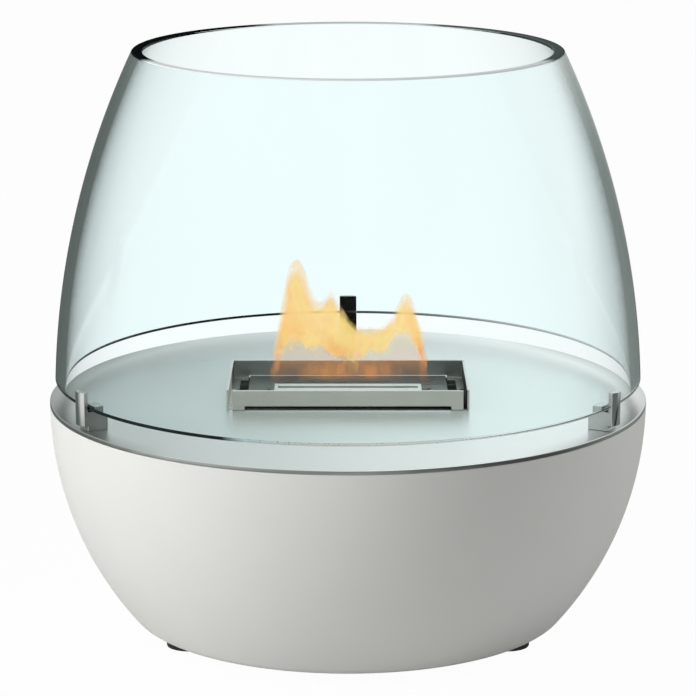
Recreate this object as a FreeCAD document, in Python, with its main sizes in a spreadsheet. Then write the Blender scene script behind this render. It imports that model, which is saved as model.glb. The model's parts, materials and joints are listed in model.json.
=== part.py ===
import FreeCAD, Part
import Sketcher
import math
import operator
import os
from types import SimpleNamespace

# Tabletop fireplace: white bowl, steel top plate, slotted burner and a curved glass shade.
# Millimetres, +Z up, front towards -Y, origin on the table under the middle of the bowl.

driving_sizes = {
    # Bowl
    "bowl_height": 148.5,
    "bowl_taper": 57.0,
    "bowl_bulge": 14.5,
    "bowl_wall": 3.0,
    "bowl_base_round": 14.0,
    "flange_width": 22.0,
    "flange_thick": 4.0,
    "access_margin": 30.0,
    # Top plate
    "plate_radius": 200.0,
    "plate_thick": 3.0,
    "plate_edge_chamfer": 0.5,
    "cutout_margin": 3.5,
    # Glass shade
    "glass_set_back": 3.9,
    "glass_taper": 53.9,
    "glass_height": 219.5,
    "glass_bulge": 11.7,
    "glass_wall": 6.5,
    "glass_edge_round": 1.2,
    # Glass holders and their seats
    "holder_width": 12.4,
    "holder_ledge": 7.2,
    "holder_height": 13.0,
    "post_clearance": 0.4,
    "post_flat": 2.5,
    "post_bulge": 2.2,
    "post_gap": 3.5,
    "post_height": 25.8,
    "seat_thick": 0.9,
    "seat_inset": 1.0,
    "holder_screw_radius": 2.0,
    "holder_screw_depth": 8.0,
    "holder_head_radius": 3.6,
    "holder_head_height": 3.0,
    "washer_radius": 5.0,
    "washer_thick": 1.0,
    "hole_clearance": 0.3,
    # Burner tray
    "tray_length": 160.0,
    "tray_depth": 90.0,
    "tray_height": 13.2,
    "tray_sheet": 1.5,
    "tray_floor": 1.0,
    "corner_gap": 2.4,
    "wall_slot_inset": 12.0,
    "wall_slot_height": 2.5,
    "end_hole_margin": 5.0,
    "end_hole_set_in": 8.0,
    "flame_inset": 20.3,
    "flame_width": 6.4,
    # Slide with its collar
    "hook_room": 6.2,
    "slide_sheet": 1.2,
    "slide_travel": 17.5,
    "slide_clearance": 0.3,
    "slide_lift": 0.2,
    "slide_lip": 5.0,
    "collar_margin": 2.5,
    "collar_depth": 18.0,
    "collar_top": 5.0,
    # Tank and what it holds
    "tank_wall": 1.0,
    "tank_height": 50.0,
    "tank_side_gap": 1.6,
    "tank_end_gap": 2.0,
    "absorber_clearance": 0.5,
    "fuel_room": 10.0,
    "screen_thick": 1.0,
    "screen_slot_width": 5.0,
    "screen_margin": 8.0,
    # Spill tray under the plate
    "spill_sheet": 1.0,
    "spill_room": 13.0,
    "spill_flange": 12.0,
    "stud_radius": 2.0,
    "stud_length": 10.0,
    "nut_radius": 4.0,
    "nut_height": 3.2,
    # Base plate, feet and their screws
    "base_plate_margin": 9.0,
    "base_plate_thick": 4.0,
    "foot_set_in": 21.0,
    "foot_radius": 15.0,
    "foot_height": 6.0,
    "foot_recess_radius": 6.0,
    "foot_recess_depth": 3.0,
    "foot_screw_radius": 2.5,
    "foot_head_radius": 4.6,
    "foot_head_height": 2.4,
    # One overrun for every cut
    "overrun": 2.0,
}
screen_slots = 9
holders = {"left": 120.0, "right": -120.0, "rear": 0.0}

doc = FreeCAD.newDocument("tabletop_fireplace")
sheet = doc.addObject("Spreadsheet::Sheet", "sizes")


class Size:
    # A length with its number and the sheet formula that it comes from.
    signs = {"+": operator.add, "-": operator.sub, "*": operator.mul, "/": operator.truediv}

    def __init__(self, number, formula):
        self.number = float(number)
        self.formula = formula

    def joined(self, sign, other):
        if not isinstance(other, Size):
            other = Size(other, repr(other))
        number = Size.signs[sign](self.number, other.number)
        return Size(number, f"({self.formula} {sign} {other.formula})")

    def __add__(self, other):
        return self.joined("+", other)

    def __sub__(self, other):
        return self.joined("-", other)

    def __mul__(self, other):
        return self.joined("*", other)

    def __truediv__(self, other):
        return self.joined("/", other)

    def __neg__(self):
        return Size(-self.number, f"(-1 * {self.formula})")

    def root(self):
        return Size(math.sqrt(self.number), f"sqrt({self.formula})")


def fill_sheet():
    sizes = {}
    for row, (name, number) in enumerate(driving_sizes.items(), start=1):
        sheet.set(f"A{row}", name)
        sheet.set(f"B{row}", str(number))
        sheet.setAlias(f"B{row}", name)
        sizes[name] = Size(number, f"sizes.{name}")
    doc.recompute()
    return SimpleNamespace(**sizes)


s = fill_sheet()
zero = Size(0, "0")

# Levels and places that several pieces share
rim_level = s.foot_height + s.bowl_height
plate_top = rim_level + s.plate_thick
glass_level = plate_top + s.holder_height + s.seat_thick
bowl_base_radius = s.plate_radius - s.bowl_taper
foot_circle = bowl_base_radius - s.foot_set_in
glass_base_radius = s.plate_radius - s.glass_set_back
holder_inner = glass_base_radius - s.glass_wall - s.holder_ledge
post_inner = glass_base_radius + s.post_clearance
screw_circle = (holder_inner + post_inner) / 2
floor_top = plate_top + s.tray_floor
slide_level = floor_top + s.slide_lift
half_tray = s.tray_length / 2
half_depth = s.tray_depth / 2
tray_inner = half_depth - s.tray_sheet
end_hole_outer = half_tray - s.tray_sheet - s.end_hole_margin
half_end_hole = half_depth - s.end_hole_set_in
half_slide = end_hole_outer - s.hook_room
half_flame = half_slide - s.flame_inset
end_hole_inner = half_slide - s.slide_sheet - s.slide_clearance
half_cutout_x = end_hole_outer + s.cutout_margin / 2
half_cutout_y = half_end_hole + s.cutout_margin / 2
half_tank_x = end_hole_inner - s.tank_side_gap
half_tank_y = half_cutout_y - s.tank_end_gap
tank_floor = plate_top - s.tank_height + s.tank_wall
absorber_height = s.tank_height - s.fuel_room
half_absorber_x = half_tank_x - s.tank_wall - s.absorber_clearance
half_absorber_y = half_tank_y - s.tank_wall - s.absorber_clearance
spill_height = s.tank_height - s.plate_thick + s.spill_room
stud_x = half_cutout_x + s.spill_sheet + s.spill_flange / 2
stud_y = half_cutout_y + s.spill_sheet + s.spill_flange / 2


def bind(thing, name, size):
    thing.setExpression(name, size.formula)


def new_body(label, level=zero, turn=0.0):
    body = doc.addObject("PartDesign::Body", label)
    body.Label = label
    body.Placement = FreeCAD.Placement(FreeCAD.Vector(), FreeCAD.Rotation(FreeCAD.Vector(0, 0, 1), turn))
    bind(body, "Placement.Base.z", level)
    return body


def origin_feature(body, role):
    return next(part for part in body.Origin.OriginFeatures if part.Role == role)


def new_sketch(body, name, plane="XY_Plane", level=None):
    sketch = body.newObject("Sketcher::SketchObject", name)
    sketch.AttachmentSupport = (origin_feature(body, plane), [""])
    sketch.MapMode = "FlatFace"
    if level is not None:
        bind(sketch, "AttachmentOffset.Base.z", level)
    return sketch


def pin(sketch, item, end, x, y):
    # Holds one point of a sketch at x, y from the body's origin.
    for kind, axis, size in (("DistanceX", -2, x), ("DistanceY", -1, y)):
        if abs(size.number) < 1e-9:
            sketch.addConstraint(Sketcher.Constraint("PointOnObject", item, end, axis))
            continue
        rule = sketch.addConstraint(Sketcher.Constraint(kind, -1, 1, item, end, size.number))
        sketch.setExpression(f"Constraints[{rule}]", size.formula)


def set_radius(sketch, item, radius):
    rule = sketch.addConstraint(Sketcher.Constraint("Radius", item, radius.number))
    sketch.setExpression(f"Constraints[{rule}]", radius.formula)


def spot(corner):
    return FreeCAD.Vector(corner[0].number, corner[1].number, 0)


def arc_between(start, end, radius):
    # An arc of a radius that bulges to the right of the way from start to end.
    chord = end - start
    rise = radius - math.sqrt(radius ** 2 - chord.Length ** 2 / 4)
    right = FreeCAD.Vector(chord.y, -chord.x, 0).normalize()
    return Part.Arc(start, (start + end) / 2 + right * rise, end)


def arc_left(start, end, radius):
    return arc_between(end, start, radius)


def add_outline(sketch, corners, arcs=None):
    # A closed outline. arcs gives the maker and the radius of each side that is an arc.
    arcs = arcs or {}
    items = []
    for place, corner in enumerate(corners):
        start = spot(corner)
        end = spot(corners[(place + 1) % len(corners)])
        if place in arcs:
            make_arc, radius = arcs[place]
            item = sketch.addGeometry(make_arc(start, end, radius.number), False)
            forward = make_arc is arc_between
            items.append((item, 1 if forward else 2, 2 if forward else 1))
            set_radius(sketch, item, radius)
        else:
            item = sketch.addGeometry(Part.LineSegment(start, end), False)
            items.append((item, 1, 2))
    for place, (item, first, last) in enumerate(items):
        following, entry, _ = items[(place + 1) % len(items)]
        sketch.addConstraint(Sketcher.Constraint("Coincident", item, last, following, entry))
        pin(sketch, item, first, *corners[place])


def add_rectangle(sketch, left, right, low, high):
    add_outline(sketch, [(left, low), (right, low), (right, high), (left, high)])


def add_circle(sketch, x, y, radius):
    circle = Part.Circle(FreeCAD.Vector(x.number, y.number, 0), FreeCAD.Vector(0, 0, 1), radius.number)
    item = sketch.addGeometry(circle, False)
    pin(sketch, item, 3, x, y)
    set_radius(sketch, item, radius)


def pad(body, sketch, length, downward=False):
    feature = body.newObject("PartDesign::Pad", f"{body.Name}_{sketch.Name}_pad")
    feature.Profile = sketch
    feature.Reversed = downward
    bind(feature, "Length", length)
    doc.recompute()
    return feature


def pocket(body, sketch, length, upward=False):
    before = body.Shape.Volume
    feature = body.newObject("PartDesign::Pocket", f"{body.Name}_{sketch.Name}_cut")
    feature.Profile = sketch
    feature.Reversed = upward
    bind(feature, "Length", length)
    doc.recompute()
    if not body.Shape.Volume < before:
        raise RuntimeError(f"{feature.Name} cuts nothing")
    return feature


def revolve(body, sketch):
    feature = body.newObject("PartDesign::Revolution", f"{body.Name}_turned")
    feature.Profile = sketch
    feature.ReferenceAxis = (sketch, ["V_Axis"])
    feature.Angle = 360
    doc.recompute()
    return feature


def repeat_round(body, features):
    # Repeats what was made at the rear at the two front places as well.
    pattern = body.newObject("PartDesign::PolarPattern", f"{body.Name}_round")
    pattern.Originals = features
    pattern.Axis = (origin_feature(body, "Z_Axis"), [""])
    pattern.Angle = 360
    pattern.Occurrences = len(holders)
    body.Tip = pattern
    doc.recompute()
    return pattern


def circle_edges(shape, radius, level):
    # Names of the whole circles of a radius about the axis at a level of the body's own frame.
    names = []
    for number, edge in enumerate(shape.Edges, start=1):
        curve = edge.Curve
        if isinstance(curve, Part.Circle) and abs(curve.Radius - radius.number) < 1e-4:
            if abs(curve.Center.z - level.number) < 1e-4:
                names.append(f"Edge{number}")
    return names


def soften(body, base, kind, edges, prop, size):
    feature = body.newObject(f"PartDesign::{kind}", f"{body.Name}_{kind.lower()}_{len(body.Group)}")
    feature.Base = (base, edges)
    bind(feature, prop, size)
    doc.recompute()
    return feature


def profile_arc(low, high, bulge):
    # Centre and radius of a wall's arc through two points, bulging away from the axis.
    run = high[0] - low[0]
    rise = high[1] - low[1]
    chord = (run * run + rise * rise).root()
    radius = (chord * chord / 4 + bulge * bulge) / (bulge * 2)
    back = (radius - bulge) / chord
    centre_x = (low[0] + high[0]) / 2 - rise * back
    centre_y = (low[1] + high[1]) / 2 + run * back
    return centre_x, centre_y, radius


def arc_reach(arc, radius, level):
    # Distance from the axis of a point at a level on an arc about the same centre.
    centre_x, centre_y, _ = arc
    drop = level - centre_y
    return centre_x + (radius * radius - drop * drop).root()


def make_bowl():
    body = new_body("bowl_shell", s.foot_height)
    base = (bowl_base_radius, zero)
    rim = (s.plate_radius, s.bowl_height)
    access_radius = foot_circle - s.access_margin
    outer = profile_arc(base, rim, s.bowl_bulge)
    inner_radius = outer[2] - s.bowl_wall
    flange_inner = s.plate_radius - s.flange_width
    flange_low = s.bowl_height - s.flange_thick
    corners = [
        (access_radius, zero),
        base,
        rim,
        (flange_inner, s.bowl_height),
        (flange_inner, flange_low),
        (arc_reach(outer, inner_radius, flange_low), flange_low),
        (arc_reach(outer, inner_radius, s.bowl_wall), s.bowl_wall),
        (access_radius, s.bowl_wall),
    ]
    sketch = new_sketch(body, "bowl_profile", "XZ_Plane")
    add_outline(sketch, corners, {1: (arc_between, outer[2]), 5: (arc_left, inner_radius)})
    turned = revolve(body, sketch)
    outside = circle_edges(turned.Shape, bowl_base_radius, zero)
    rounded = soften(body, turned, "Fillet", outside, "Radius", s.bowl_base_round)
    inside = circle_edges(rounded.Shape, corners[6][0], s.bowl_wall)
    soften(body, rounded, "Fillet", inside, "Radius", s.bowl_base_round - s.bowl_wall)
    screw_hole = new_sketch(body, "bowl_screw_hole", level=s.bowl_height)
    add_circle(screw_hole, zero, screw_circle, s.holder_screw_radius + s.hole_clearance)
    screw_cut = pocket(body, screw_hole, s.flange_thick + s.overrun)
    foot_hole = new_sketch(body, "bowl_foot_hole", level=s.bowl_wall)
    add_circle(foot_hole, zero, foot_circle, s.foot_screw_radius + s.hole_clearance)
    foot_cut = pocket(body, foot_hole, s.bowl_wall + s.overrun)
    repeat_round(body, [screw_cut, foot_cut])
    return body


def make_top_plate():
    body = new_body("top_plate", rim_level)
    sketch = new_sketch(body, "plate_outline")
    add_circle(sketch, zero, zero, s.plate_radius)
    add_rectangle(sketch, -half_cutout_x, half_cutout_x, -half_cutout_y, half_cutout_y)
    disc = pad(body, sketch, s.plate_thick)
    edge = circle_edges(disc.Shape, s.plate_radius, s.plate_thick)
    soften(body, disc, "Chamfer", edge, "Size", s.plate_edge_chamfer)
    hole = new_sketch(body, "plate_screw_hole", level=s.plate_thick)
    add_circle(hole, zero, screw_circle, s.holder_screw_radius + s.hole_clearance)
    cut = pocket(body, hole, s.plate_thick + s.overrun)
    repeat_round(body, [cut])
    return body


def make_glass():
    body = new_body("glass_shade", glass_level)
    base = (glass_base_radius, zero)
    rim = (glass_base_radius - s.glass_taper, s.glass_height)
    outer = profile_arc(base, rim, s.glass_bulge)
    inner_radius = outer[2] - s.glass_wall
    inner_base = arc_reach(outer, inner_radius, zero)
    inner_rim = arc_reach(outer, inner_radius, s.glass_height)
    corners = [(inner_base, zero), base, rim, (inner_rim, s.glass_height)]
    sketch = new_sketch(body, "glass_profile", "XZ_Plane")
    add_outline(sketch, corners, {1: (arc_between, outer[2]), 3: (arc_left, inner_radius)})
    turned = revolve(body, sketch)
    edges = []
    for reach, level in corners:
        edges += circle_edges(turned.Shape, reach, level)
    soften(body, turned, "Fillet", edges, "Radius", s.glass_edge_round)
    return body


def make_holder(side, turn):
    # A block under the glass with a round-backed post outside it, built at the rear.
    body = new_body(f"glass_holder_{side}", plate_top, turn)
    half = s.holder_width / 2
    block = new_sketch(body, f"block_{side}")
    add_rectangle(block, -half, half, holder_inner, post_inner)
    pad(body, block, s.holder_height)
    back = post_inner + s.post_flat
    back_radius = (half * half + s.post_bulge * s.post_bulge) / (s.post_bulge * 2)
    post = new_sketch(body, f"post_{side}", level=s.post_gap)
    corners = [(-half, post_inner), (half, post_inner), (half, back), (-half, back)]
    add_outline(post, corners, {2: (arc_between, back_radius)})
    pad(body, post, s.post_height - s.post_gap)
    hole = new_sketch(body, f"tapped_hole_{side}")
    add_circle(hole, zero, screw_circle, s.holder_screw_radius)
    pocket(body, hole, s.holder_screw_depth + s.hole_clearance, upward=True)
    return body


def make_seat_pad(side, turn):
    body = new_body(f"seat_pad_{side}", plate_top + s.holder_height, turn)
    half = s.holder_width / 2 - s.seat_inset
    inner = glass_base_radius - s.glass_wall - s.seat_inset
    sketch = new_sketch(body, f"pad_{side}")
    add_rectangle(sketch, -half, half, inner, glass_base_radius - s.seat_inset)
    pad(body, sketch, s.seat_thick)
    return body


def make_holder_screws():
    head_top = rim_level - s.flange_thick - s.washer_thick
    body = new_body("holder_screws", head_top)
    head = new_sketch(body, "holder_screw_head")
    add_circle(head, zero, screw_circle, s.holder_head_radius)
    head_pad = pad(body, head, s.holder_head_height, downward=True)
    shank = new_sketch(body, "holder_screw_shank")
    add_circle(shank, zero, screw_circle, s.holder_screw_radius)
    reach = s.washer_thick + s.flange_thick + s.plate_thick + s.holder_screw_depth
    shank_pad = pad(body, shank, reach)
    repeat_round(body, [head_pad, shank_pad])
    return body


def make_holder_washers():
    body = new_body("holder_washers", rim_level - s.flange_thick - s.washer_thick)
    ring = new_sketch(body, "washer_ring")
    add_circle(ring, zero, screw_circle, s.washer_radius)
    add_circle(ring, zero, screw_circle, s.holder_screw_radius + s.hole_clearance)
    repeat_round(body, [pad(body, ring, s.washer_thick)])
    return body


def make_burner_tray():
    body = new_body("burner_tray", plate_top)
    wall_x = half_tray - s.tray_sheet
    front_x = wall_x - s.corner_gap
    side_y = tray_inner - s.corner_gap / 2
    floor = new_sketch(body, "tray_floor_outline")
    quarter = [(half_tray, side_y), (front_x, side_y), (front_x, half_depth)]
    corners = quarter + [(-x, y) for x, y in reversed(quarter)]
    corners += [(-x, -y) for x, y in quarter] + [(x, -y) for x, y in reversed(quarter)]
    add_outline(floor, corners)
    flame_x = half_flame + s.collar_margin / 2
    add_rectangle(floor, -flame_x, flame_x, -s.flame_width / 2, s.flame_width / 2)
    add_rectangle(floor, end_hole_inner, end_hole_outer, -half_end_hole, half_end_hole)
    add_rectangle(floor, -end_hole_outer, -end_hole_inner, -half_end_hole, half_end_hole)
    pad(body, floor, s.tray_floor)
    walls = new_sketch(body, "tray_walls")
    add_rectangle(walls, wall_x, half_tray, -side_y, side_y)
    add_rectangle(walls, -half_tray, -wall_x, -side_y, side_y)
    add_rectangle(walls, -front_x, front_x, -half_depth, -tray_inner)
    add_rectangle(walls, -front_x, front_x, tray_inner, half_depth)
    pad(body, walls, s.tray_height)
    slots = new_sketch(body, "tray_wall_slots", level=s.wall_slot_height)
    half_slot = half_tray - s.wall_slot_inset
    add_rectangle(slots, -half_slot, half_slot, -half_depth - s.overrun, -tray_inner)
    add_rectangle(slots, -half_slot, half_slot, tray_inner, half_depth + s.overrun)
    pocket(body, slots, s.wall_slot_height + s.overrun)
    return body


def make_slider_plate():
    # Stands open: its middle lies half its travel behind the burner's middle.
    body = new_body("slider_plate", slide_level)
    middle = s.slide_travel / 2
    reach = tray_inner - s.slide_clearance - middle
    top = new_sketch(body, "slide_top")
    add_rectangle(top, -half_slide, half_slide, middle - reach, middle + reach)
    add_rectangle(top, -half_flame, half_flame, -s.flame_width / 2, s.flame_width / 2)
    pad(body, top, s.slide_sheet)
    lips = new_sketch(body, "slide_lips", level=s.slide_sheet)
    lip_reach = half_end_hole - s.slide_clearance - middle
    lip_inner = half_slide - s.slide_sheet
    add_rectangle(lips, lip_inner, half_slide, middle - lip_reach, middle + lip_reach)
    add_rectangle(lips, -half_slide, -lip_inner, middle - lip_reach, middle + lip_reach)
    pad(body, lips, s.slide_lip, downward=True)
    return body


def make_slider_collar():
    body = new_body("slider_collar", slide_level + s.slide_sheet)
    ring = new_sketch(body, "collar_ring")
    half = half_flame + s.collar_margin
    add_rectangle(ring, -half, half, -s.collar_depth / 2, s.collar_depth / 2)
    add_rectangle(ring, -half_flame, half_flame, -s.flame_width / 2, s.flame_width / 2)
    pad(body, ring, plate_top + s.collar_top - slide_level - s.slide_sheet)
    return body


def make_fuel_tank():
    body = new_body("fuel_tank", plate_top - s.tank_height)
    box = new_sketch(body, "tank_box")
    add_rectangle(box, -half_tank_x, half_tank_x, -half_tank_y, half_tank_y)
    pad(body, box, s.tank_height)
    inside_x = half_tank_x - s.tank_wall
    inside_y = half_tank_y - s.tank_wall
    inside = new_sketch(body, "tank_inside", level=s.tank_height)
    add_rectangle(inside, -inside_x, inside_x, -inside_y, inside_y)
    pocket(body, inside, s.tank_height - s.tank_wall)
    return body


def make_absorber():
    block = doc.addObject("Part::Box", "absorber_block")
    block.Label = "absorber_block"
    bind(block, "Length", half_absorber_x * 2)
    bind(block, "Width", half_absorber_y * 2)
    bind(block, "Height", absorber_height)
    bind(block, "Placement.Base.x", -half_absorber_x)
    bind(block, "Placement.Base.y", -half_absorber_y)
    bind(block, "Placement.Base.z", tank_floor)
    doc.recompute()
    return block


def make_absorber_screen():
    body = new_body("absorber_screen", tank_floor + absorber_height)
    sketch = new_sketch(body, "screen_outline")
    add_rectangle(sketch, -half_absorber_x, half_absorber_x, -half_absorber_y, half_absorber_y)
    pitch = half_absorber_x * 2 / (screen_slots + 1)
    edge = half_absorber_y - s.screen_margin
    for number in range(screen_slots):
        middle = pitch * (number - (screen_slots - 1) / 2)
        add_rectangle(sketch, middle - s.screen_slot_width / 2, middle + s.screen_slot_width / 2, -edge, edge)
    pad(body, sketch, s.screen_thick)
    return body


def make_spill_tray():
    body = new_body("spill_tray", rim_level - spill_height)
    outer_x = half_cutout_x + s.spill_sheet
    outer_y = half_cutout_y + s.spill_sheet
    box = new_sketch(body, "spill_box")
    add_rectangle(box, -outer_x, outer_x, -outer_y, outer_y)
    pad(body, box, spill_height)
    flange = new_sketch(body, "spill_flange", level=spill_height)
    wide_x = outer_x + s.spill_flange
    wide_y = outer_y + s.spill_flange
    add_rectangle(flange, -wide_x, wide_x, -wide_y, wide_y)
    for x, y in stud_places():
        add_circle(flange, x, y, s.stud_radius + s.hole_clearance)
    pad(body, flange, s.spill_sheet, downward=True)
    inside = new_sketch(body, "spill_inside", level=spill_height)
    add_rectangle(inside, -half_cutout_x, half_cutout_x, -half_cutout_y, half_cutout_y)
    pocket(body, inside, spill_height - s.spill_sheet)
    return body


def stud_places():
    return [(x, y) for x in (-stud_x, stud_x) for y in (-stud_y, stud_y)]


def make_tray_studs():
    body = new_body("tray_studs", rim_level - s.stud_length)
    sketch = new_sketch(body, "stud_circles")
    for x, y in stud_places():
        add_circle(sketch, x, y, s.stud_radius)
    pad(body, sketch, s.stud_length)
    return body


def make_tray_nuts():
    nuts = []
    for number, (x, y) in enumerate(stud_places(), start=1):
        blank = doc.addObject("Part::Prism", f"nut_blank_{number}")
        blank.Polygon = 6
        bind(blank, "Circumradius", s.nut_radius)
        bind(blank, "Height", s.nut_height)
        bore = doc.addObject("Part::Cylinder", f"nut_bore_{number}")
        bind(bore, "Radius", s.stud_radius)
        bind(bore, "Height", s.nut_height)
        nut = doc.addObject("Part::Cut", f"nut_{number}")
        nut.Base = blank
        nut.Tool = bore
        bind(nut, "Placement.Base.x", x)
        bind(nut, "Placement.Base.y", y)
        bind(nut, "Placement.Base.z", rim_level - s.spill_sheet - s.nut_height)
        nuts.append(nut)
    group = doc.addObject("Part::Compound", "tray_nuts")
    group.Label = "tray_nuts"
    group.Links = nuts
    doc.recompute()
    return group


def make_base_plate():
    body = new_body("base_plate", s.foot_height + s.bowl_wall)
    sketch = new_sketch(body, "base_disc")
    add_circle(sketch, zero, zero, foot_circle + s.base_plate_margin)
    pad(body, sketch, s.base_plate_thick)
    hole = new_sketch(body, "base_tapped_hole", level=s.base_plate_thick)
    add_circle(hole, zero, foot_circle, s.foot_screw_radius)
    repeat_round(body, [pocket(body, hole, s.base_plate_thick + s.overrun)])
    return body


def make_foot(side, turn):
    body = new_body(f"foot_{side}", turn=turn)
    sketch = new_sketch(body, f"foot_disc_{side}")
    add_circle(sketch, zero, foot_circle, s.foot_radius)
    add_circle(sketch, zero, foot_circle, s.foot_screw_radius + s.hole_clearance)
    pad(body, sketch, s.foot_height)
    recess = new_sketch(body, f"foot_recess_{side}")
    add_circle(recess, zero, foot_circle, s.foot_recess_radius)
    pocket(body, recess, s.foot_recess_depth, upward=True)
    return body


def make_foot_screws():
    body = new_body("foot_screws", s.foot_recess_depth)
    head = new_sketch(body, "foot_screw_head")
    add_circle(head, zero, foot_circle, s.foot_head_radius)
    head_pad = pad(body, head, s.foot_head_height, downward=True)
    shank = new_sketch(body, "foot_screw_shank")
    add_circle(shank, zero, foot_circle, s.foot_screw_radius)
    reach = s.foot_height - s.foot_recess_depth + s.bowl_wall + s.base_plate_thick
    shank_pad = pad(body, shank, reach)
    repeat_round(body, [head_pad, shank_pad])
    return body


def make_all():
    parts = [make_bowl(), make_top_plate(), make_glass()]
    for side, turn in holders.items():
        parts += [make_holder(side, turn), make_seat_pad(side, turn), make_foot(side, turn)]
    parts += [make_holder_screws(), make_holder_washers(), make_base_plate(), make_foot_screws()]
    parts += [make_spill_tray(), make_tray_studs(), make_tray_nuts()]
    parts += [make_burner_tray(), make_fuel_tank(), make_absorber(), make_absorber_screen()]
    parts += [make_slider_plate(), make_slider_collar()]
    return parts


def write_parts(parts):
    doc.recompute()
    failed = [thing.Name for thing in doc.Objects if {"Invalid", "Error"} & set(thing.State)]
    for part in parts:
        if part.Shape.isNull() or not part.Shape.isValid() or not part.Shape.Solids:
            failed.append(part.Label)
    if failed:
        raise RuntimeError(f"not built: {failed}")
    os.makedirs("parts", exist_ok=True)
    for part in parts:
        part.Shape.exportStep(f"parts/{part.Label}.step")
        box = part.Shape.BoundBox
        print(f"{part.Label}: {len(part.Shape.Solids)} solids, {box.XLength:.1f} x {box.YLength:.1f} x "
              f"{box.ZLength:.1f} mm, z {box.ZMin:.1f} to {box.ZMax:.1f}")


write_parts(make_all())
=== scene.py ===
import json
import math

import bmesh
import bpy
from mathutils import Matrix, Vector
from mathutils.noise import noise as softNoise


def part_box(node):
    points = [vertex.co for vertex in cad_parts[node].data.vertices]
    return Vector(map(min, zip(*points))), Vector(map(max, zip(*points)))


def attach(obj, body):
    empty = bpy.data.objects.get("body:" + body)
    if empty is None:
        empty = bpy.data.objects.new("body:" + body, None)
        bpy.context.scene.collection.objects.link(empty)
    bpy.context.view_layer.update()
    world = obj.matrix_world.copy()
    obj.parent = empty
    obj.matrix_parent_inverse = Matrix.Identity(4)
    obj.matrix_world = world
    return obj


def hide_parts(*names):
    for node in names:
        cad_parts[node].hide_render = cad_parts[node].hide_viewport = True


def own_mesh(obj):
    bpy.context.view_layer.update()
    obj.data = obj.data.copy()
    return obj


# Tabletop fireplace: white bowl, steel plate, slotted burner with its flame, curved glass shade.
# Metres, front towards -Y, table at z 0.

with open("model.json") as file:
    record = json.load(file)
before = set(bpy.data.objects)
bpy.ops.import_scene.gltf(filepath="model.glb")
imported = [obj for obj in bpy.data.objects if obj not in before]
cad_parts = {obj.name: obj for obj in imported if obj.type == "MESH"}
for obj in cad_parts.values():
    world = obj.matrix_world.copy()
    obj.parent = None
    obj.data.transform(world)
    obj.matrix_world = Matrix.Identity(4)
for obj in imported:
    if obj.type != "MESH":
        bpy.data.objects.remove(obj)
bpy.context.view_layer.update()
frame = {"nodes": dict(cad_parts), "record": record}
nodes = frame["nodes"]
bodyOf = {}
for bodyName, members in frame["record"]["behaviour"]["bodies"].items():
    for member in members:
        bodyOf[member] = bodyName
slotOf = {row["node"]: row["material_slot"] for row in frame["record"]["subparts"]}
print("frame loaded:", len(nodes), "nodes")


def newMaterial(name):
    material = bpy.data.materials.new(name)
    material.use_nodes = True
    return material, material.node_tree, material.node_tree.nodes["Principled BSDF"]


def setInputs(tree, node, inputs):
    # a socket is linked, a plain value is set
    for key, value in inputs.items():
        if isinstance(value, bpy.types.NodeSocket):
            tree.links.new(value, node.inputs[key])
        else:
            node.inputs[key].default_value = value


def addNode(tree, kind, inputs=None, **settings):
    node = tree.nodes.new(kind)
    for key, value in settings.items():
        setattr(node, key, value)
    setInputs(tree, node, inputs or {})
    return node


def maths(tree, operation, *values):
    return addNode(tree, "ShaderNodeMath", dict(enumerate(values)), operation=operation).outputs["Value"]


def objectPoint(tree, scale=(1, 1, 1), location=(0, 0, 0)):
    place = addNode(tree, "ShaderNodeTexCoord").outputs["Object"]
    mapping = addNode(tree, "ShaderNodeMapping", {"Vector": place, "Scale": scale, "Location": location})
    return mapping.outputs["Vector"]


def objectAxes(tree):
    return addNode(tree, "ShaderNodeSeparateXYZ", {"Vector": objectPoint(tree)}).outputs


def axisDistance(tree, place):
    # how far a point is from the object's upright axis
    flat = addNode(tree, "ShaderNodeCombineXYZ", {"X": place["X"], "Y": place["Y"]}).outputs["Vector"]
    return addNode(tree, "ShaderNodeVectorMath", {0: flat}, operation="LENGTH").outputs["Value"]


def noise(tree, scale, detail=3.0, stretch=(1, 1, 1), roughness=0.5):
    inputs = {"Vector": objectPoint(tree, stretch), "Scale": scale, "Detail": detail, "Roughness": roughness}
    return addNode(tree, "ShaderNodeTexNoise", inputs).outputs["Fac"]


def between(tree, value, low, high, fromLow=0.3, fromHigh=0.7, **settings):
    inputs = {"Value": value, "From Min": fromLow, "From Max": fromHigh, "To Min": low, "To Max": high}
    return addNode(tree, "ShaderNodeMapRange", inputs, **settings).outputs["Result"]


def softStep(tree, value, fromLow, fromHigh, low, high):
    return between(tree, value, low, high, fromLow, fromHigh, interpolation_type="SMOOTHSTEP")


def mixValue(tree, fac, first, second):
    return addNode(tree, "ShaderNodeMix", {"Factor": fac, "A": first, "B": second}).outputs["Result"]


def blendColour(tree, fac, first, second):
    node = addNode(tree, "ShaderNodeMix", data_type="RGBA")
    tree.links.new(fac, node.inputs["Factor"])
    for socket, colour in (("A", first), ("B", second)):
        target = next(i for i in node.inputs if i.name == socket and i.type == "RGBA")
        if isinstance(colour, bpy.types.NodeSocket):
            tree.links.new(colour, target)
        else:
            target.default_value = (*colour, 1)
    return next(o for o in node.outputs if o.type == "RGBA")


def bumpFrom(tree, height, strength, distance):
    inputs = {"Height": height, "Strength": strength, "Distance": distance}
    return addNode(tree, "ShaderNodeBump", inputs).outputs["Normal"]


def insideBox(tree, low, high):
    # 1 inside the box, 0 outside
    place = objectAxes(tree)
    inside = None
    for axis, first, last in zip("XYZ", low, high):
        within = maths(tree, "COMPARE", place[axis], (first + last) / 2, (last - first) / 2)
        inside = maths(tree, "MULTIPLY", inside, within) if inside else within
    return inside


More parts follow.
